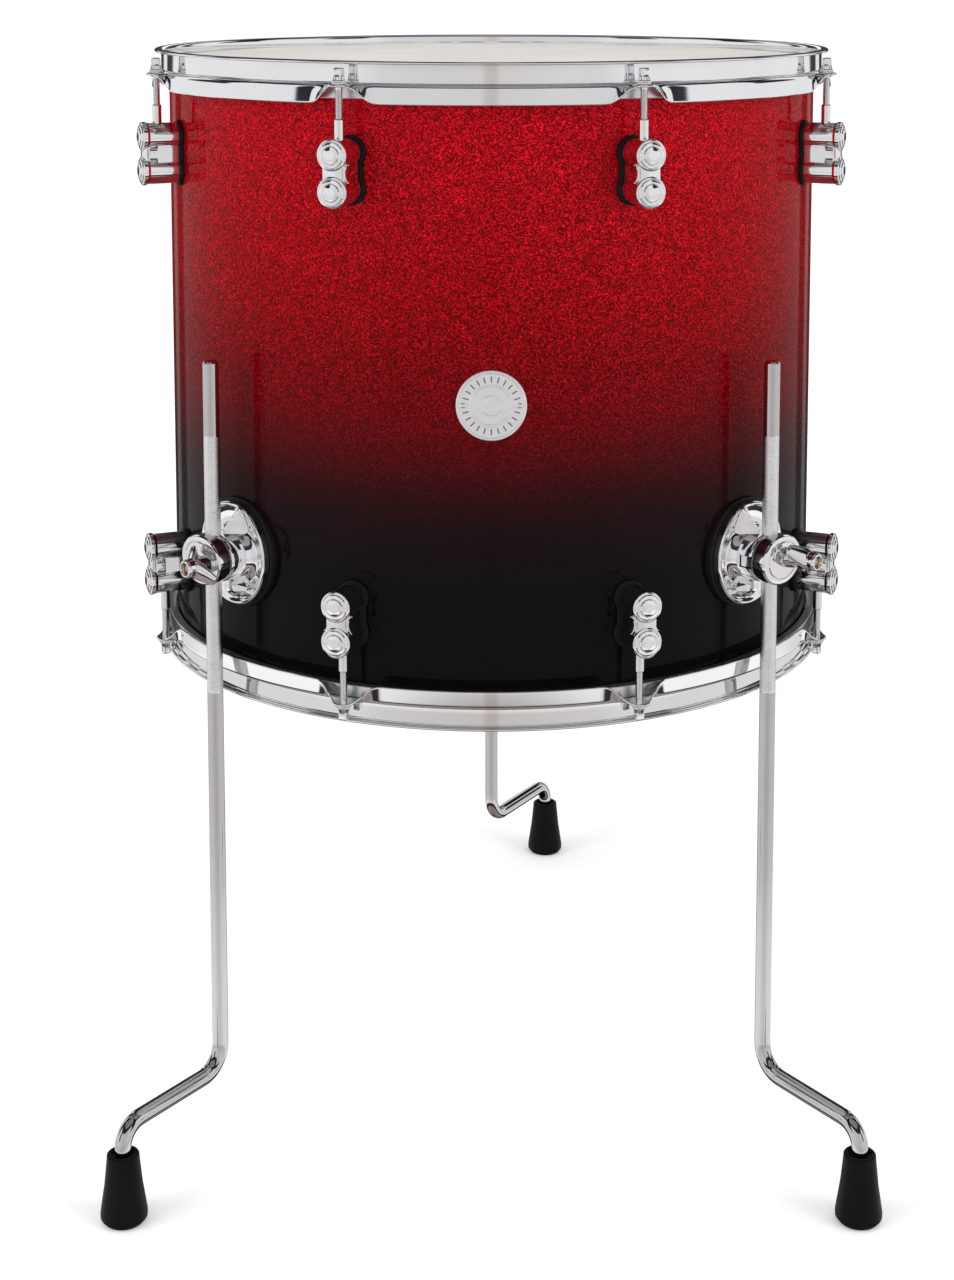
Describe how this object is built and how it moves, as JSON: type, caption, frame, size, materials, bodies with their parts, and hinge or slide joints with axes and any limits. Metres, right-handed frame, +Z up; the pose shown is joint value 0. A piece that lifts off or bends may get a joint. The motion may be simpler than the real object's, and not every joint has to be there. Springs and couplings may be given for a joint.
{
  "type": "floor tom drum",
  "caption": "Cylindrical floor tom drum with coated playing head, chromed flanged hoops, lugs with key rods, and bent rod legs in clamp brackets.",
  "frame": {"origin": "on the floor, under the middle of the whole object's box; the drum's own axis stands 40.7 mm in front of it because the rear leg reaches further", "axes": "+Z up along the drum's axis, -Y towards the badge side, +X to the right seen from the badge side"},
  "size_m": [0.5004, 0.6078, 0.7405],
  "materials": {
    "sparkle_fade_lacquer_on_maple": "gloss clear lacquer over red sparkle fading down to black, natural maple inside",
    "coated_white_film": "polyester film with a thin matt sprayed coating",
    "clear_film": "clear polyester film",
    "aluminium_collar": "plain drawn channel",
    "chromed_hoop": "pressed steel, bright chrome plate",
    "chromed_casting": "die casting, bright chrome plate",
    "chromed_steel": "machined steel, bright chrome plate",
    "chromed_leg_rod": "chromed rod, diamond knurl over the clamping length",
    "zinc_steel": "zinc plate",
    "brushed_badge": "brushed plate with a plain raised ring pattern",
    "gasket_rubber": "matt moulded",
    "foot_rubber": "satin moulded"
  },
  "bodies": {
    "drum": {"shell": "sparkle_fade_lacquer_on_maple", "batter_film": "coated_white_film", "batter_collar": "aluminium_collar", "resonant_film": "clear_film", "resonant_collar": "aluminium_collar", "batter_hoop": "chromed_hoop", "resonant_hoop": "chromed_hoop", "badge": "brushed_badge", "badge_pins": "brushed_badge", "lug_casings_upper": "chromed_casting", "lug_casings_lower": "chromed_casting", "lug_gaskets_upper": "gasket_rubber", "lug_gaskets_lower": "gasket_rubber", "lug_screws_upper": "zinc_steel", "lug_screws_lower": "zinc_steel", "lug_screw_washers_upper": "zinc_steel", "lug_screw_washers_lower": "zinc_steel", "swivel_nuts_upper": "chromed_steel", "swivel_nuts_lower": "chromed_steel", "rod_washers_upper": "chromed_steel", "rod_washers_lower": "chromed_steel", "bracket_gaskets": "gasket_rubber", "bracket_screws": "zinc_steel", "bracket_washers": "zinc_steel", "leg_bracket_left": "chromed_casting", "clamp_stud_left": "zinc_steel", "clamp_jaw_left": "chromed_casting", "leg_bracket_right": "chromed_casting", "clamp_stud_right": "zinc_steel", "clamp_jaw_right": "chromed_casting", "leg_bracket_rear": "chromed_casting", "clamp_stud_rear": "zinc_steel", "clamp_jaw_rear": "chromed_casting"},
    "rod_upper_1": {"tension_rod_upper_1": "chromed_steel"},
    "rod_upper_2": {"tension_rod_upper_2": "chromed_steel"},
    "rod_upper_3": {"tension_rod_upper_3": "chromed_steel"},
    "rod_upper_4": {"tension_rod_upper_4": "chromed_steel"},
    "rod_upper_5": {"tension_rod_upper_5": "chromed_steel"},
    "rod_upper_6": {"tension_rod_upper_6": "chromed_steel"},
    "rod_upper_7": {"tension_rod_upper_7": "chromed_steel"},
    "rod_upper_8": {"tension_rod_upper_8": "chromed_steel"},
    "rod_lower_1": {"tension_rod_lower_1": "chromed_steel"},
    "rod_lower_2": {"tension_rod_lower_2": "chromed_steel"},
    "rod_lower_3": {"tension_rod_lower_3": "chromed_steel"},
    "rod_lower_4": {"tension_rod_lower_4": "chromed_steel"},
    "rod_lower_5": {"tension_rod_lower_5": "chromed_steel"},
    "rod_lower_6": {"tension_rod_lower_6": "chromed_steel"},
    "rod_lower_7": {"tension_rod_lower_7": "chromed_steel"},
    "rod_lower_8": {"tension_rod_lower_8": "chromed_steel"},
    "wing_nut_body_left": {"wing_nut_left": "chromed_casting"},
    "wing_nut_body_right": {"wing_nut_right": "chromed_casting"},
    "wing_nut_body_rear": {"wing_nut_rear": "chromed_casting"},
    "leg_body_left": {"leg_left": "chromed_leg_rod", "foot_left": "foot_rubber"},
    "leg_body_right": {"leg_right": "chromed_leg_rod", "foot_right": "foot_rubber"},
    "leg_body_rear": {"leg_rear": "chromed_leg_rod", "foot_rear": "foot_rubber"}
  },
  "joints": [
    {"name": "tension_upper_1", "type": "hinge", "parent": "drum", "child": "rod_upper_1", "pos_m": [0.09357, -0.2666, 0.69], "axis": [0, 0, 1], "continuous": true},
    {"name": "tension_upper_2", "type": "hinge", "parent": "drum", "child": "rod_upper_2", "pos_m": [0.22589, -0.13427, 0.69], "axis": [0, 0, 1], "continuous": true},
    {"name": "tension_upper_3", "type": "hinge", "parent": "drum", "child": "rod_upper_3", "pos_m": [0.22589, 0.05286, 0.69], "axis": [0, 0, 1], "continuous": true},
    {"name": "tension_upper_4", "type": "hinge", "parent": "drum", "child": "rod_upper_4", "pos_m": [0.09357, 0.18518, 0.69], "axis": [0, 0, 1], "continuous": true},
    {"name": "tension_upper_5", "type": "hinge", "parent": "drum", "child": "rod_upper_5", "pos_m": [-0.09357, 0.18518, 0.69], "axis": [0, 0, 1], "continuous": true},
    {"name": "tension_upper_6", "type": "hinge", "parent": "drum", "child": "rod_upper_6", "pos_m": [-0.22589, 0.05286, 0.69], "axis": [0, 0, 1], "continuous": true},
    {"name": "tension_upper_7", "type": "hinge", "parent": "drum", "child": "rod_upper_7", "pos_m": [-0.22589, -0.13427, 0.69], "axis": [0, 0, 1], "continuous": true},
    {"name": "tension_upper_8", "type": "hinge", "parent": "drum", "child": "rod_upper_8", "pos_m": [-0.09357, -0.2666, 0.69], "axis": [0, 0, 1], "continuous": true},
    {"name": "tension_lower_1", "type": "hinge", "parent": "drum", "child": "rod_lower_1", "pos_m": [0.09357, -0.2666, 0.37], "axis": [0, 0, 1], "continuous": true},
    {"name": "tension_lower_2", "type": "hinge", "parent": "drum", "child": "rod_lower_2", "pos_m": [0.22589, -0.13427, 0.37], "axis": [0, 0, 1], "continuous": true},
    {"name": "tension_lower_3", "type": "hinge", "parent": "drum", "child": "rod_lower_3", "pos_m": [0.22589, 0.05286, 0.37], "axis": [0, 0, 1], "continuous": true},
    {"name": "tension_lower_4", "type": "hinge", "parent": "drum", "child": "rod_lower_4", "pos_m": [0.09357, 0.18518, 0.37], "axis": [0, 0, 1], "continuous": true},
    {"name": "tension_lower_5", "type": "hinge", "parent": "drum", "child": "rod_lower_5", "pos_m": [-0.09357, 0.18518, 0.37], "axis": [0, 0, 1], "continuous": true},
    {"name": "tension_lower_6", "type": "hinge", "parent": "drum", "child": "rod_lower_6", "pos_m": [-0.22589, 0.05286, 0.37], "axis": [0, 0, 1], "continuous": true},
    {"name": "tension_lower_7", "type": "hinge", "parent": "drum", "child": "rod_lower_7", "pos_m": [-0.22589, -0.13427, 0.37], "axis": [0, 0, 1], "continuous": true},
    {"name": "tension_lower_8", "type": "hinge", "parent": "drum", "child": "rod_lower_8", "pos_m": [-0.09357, -0.2666, 0.37], "axis": [0, 0, 1], "continuous": true},
    {"name": "wing_nut_turn_left", "type": "hinge", "parent": "drum", "child": "wing_nut_body_left", "pos_m": [-0.1861, -0.23248, 0.414], "axis": [-0.7254, -0.6884, 0], "continuous": true},
    {"name": "wing_nut_turn_right", "type": "hinge", "parent": "drum", "child": "wing_nut_body_right", "pos_m": [0.20125, -0.21652, 0.414], "axis": [0.7254, -0.6884, 0], "continuous": true},
    {"name": "wing_nut_turn_rear", "type": "hinge", "parent": "drum", "child": "wing_nut_body_rear", "pos_m": [-0.011, 0.22629, 0.414], "axis": [0, 1, 0], "continuous": true},
    {"name": "leg_height_left", "type": "slide", "parent": "drum", "child": "leg_body_left", "axis": [0, 0, 1], "range_m": [-0.07, 0.07]},
    {"name": "leg_height_right", "type": "slide", "parent": "drum", "child": "leg_body_right", "axis": [0, 0, 1], "range_m": [-0.07, 0.07]},
    {"name": "leg_height_rear", "type": "slide", "parent": "drum", "child": "leg_body_rear", "axis": [0, 0, 1], "range_m": [-0.07, 0.07]}
  ]
}
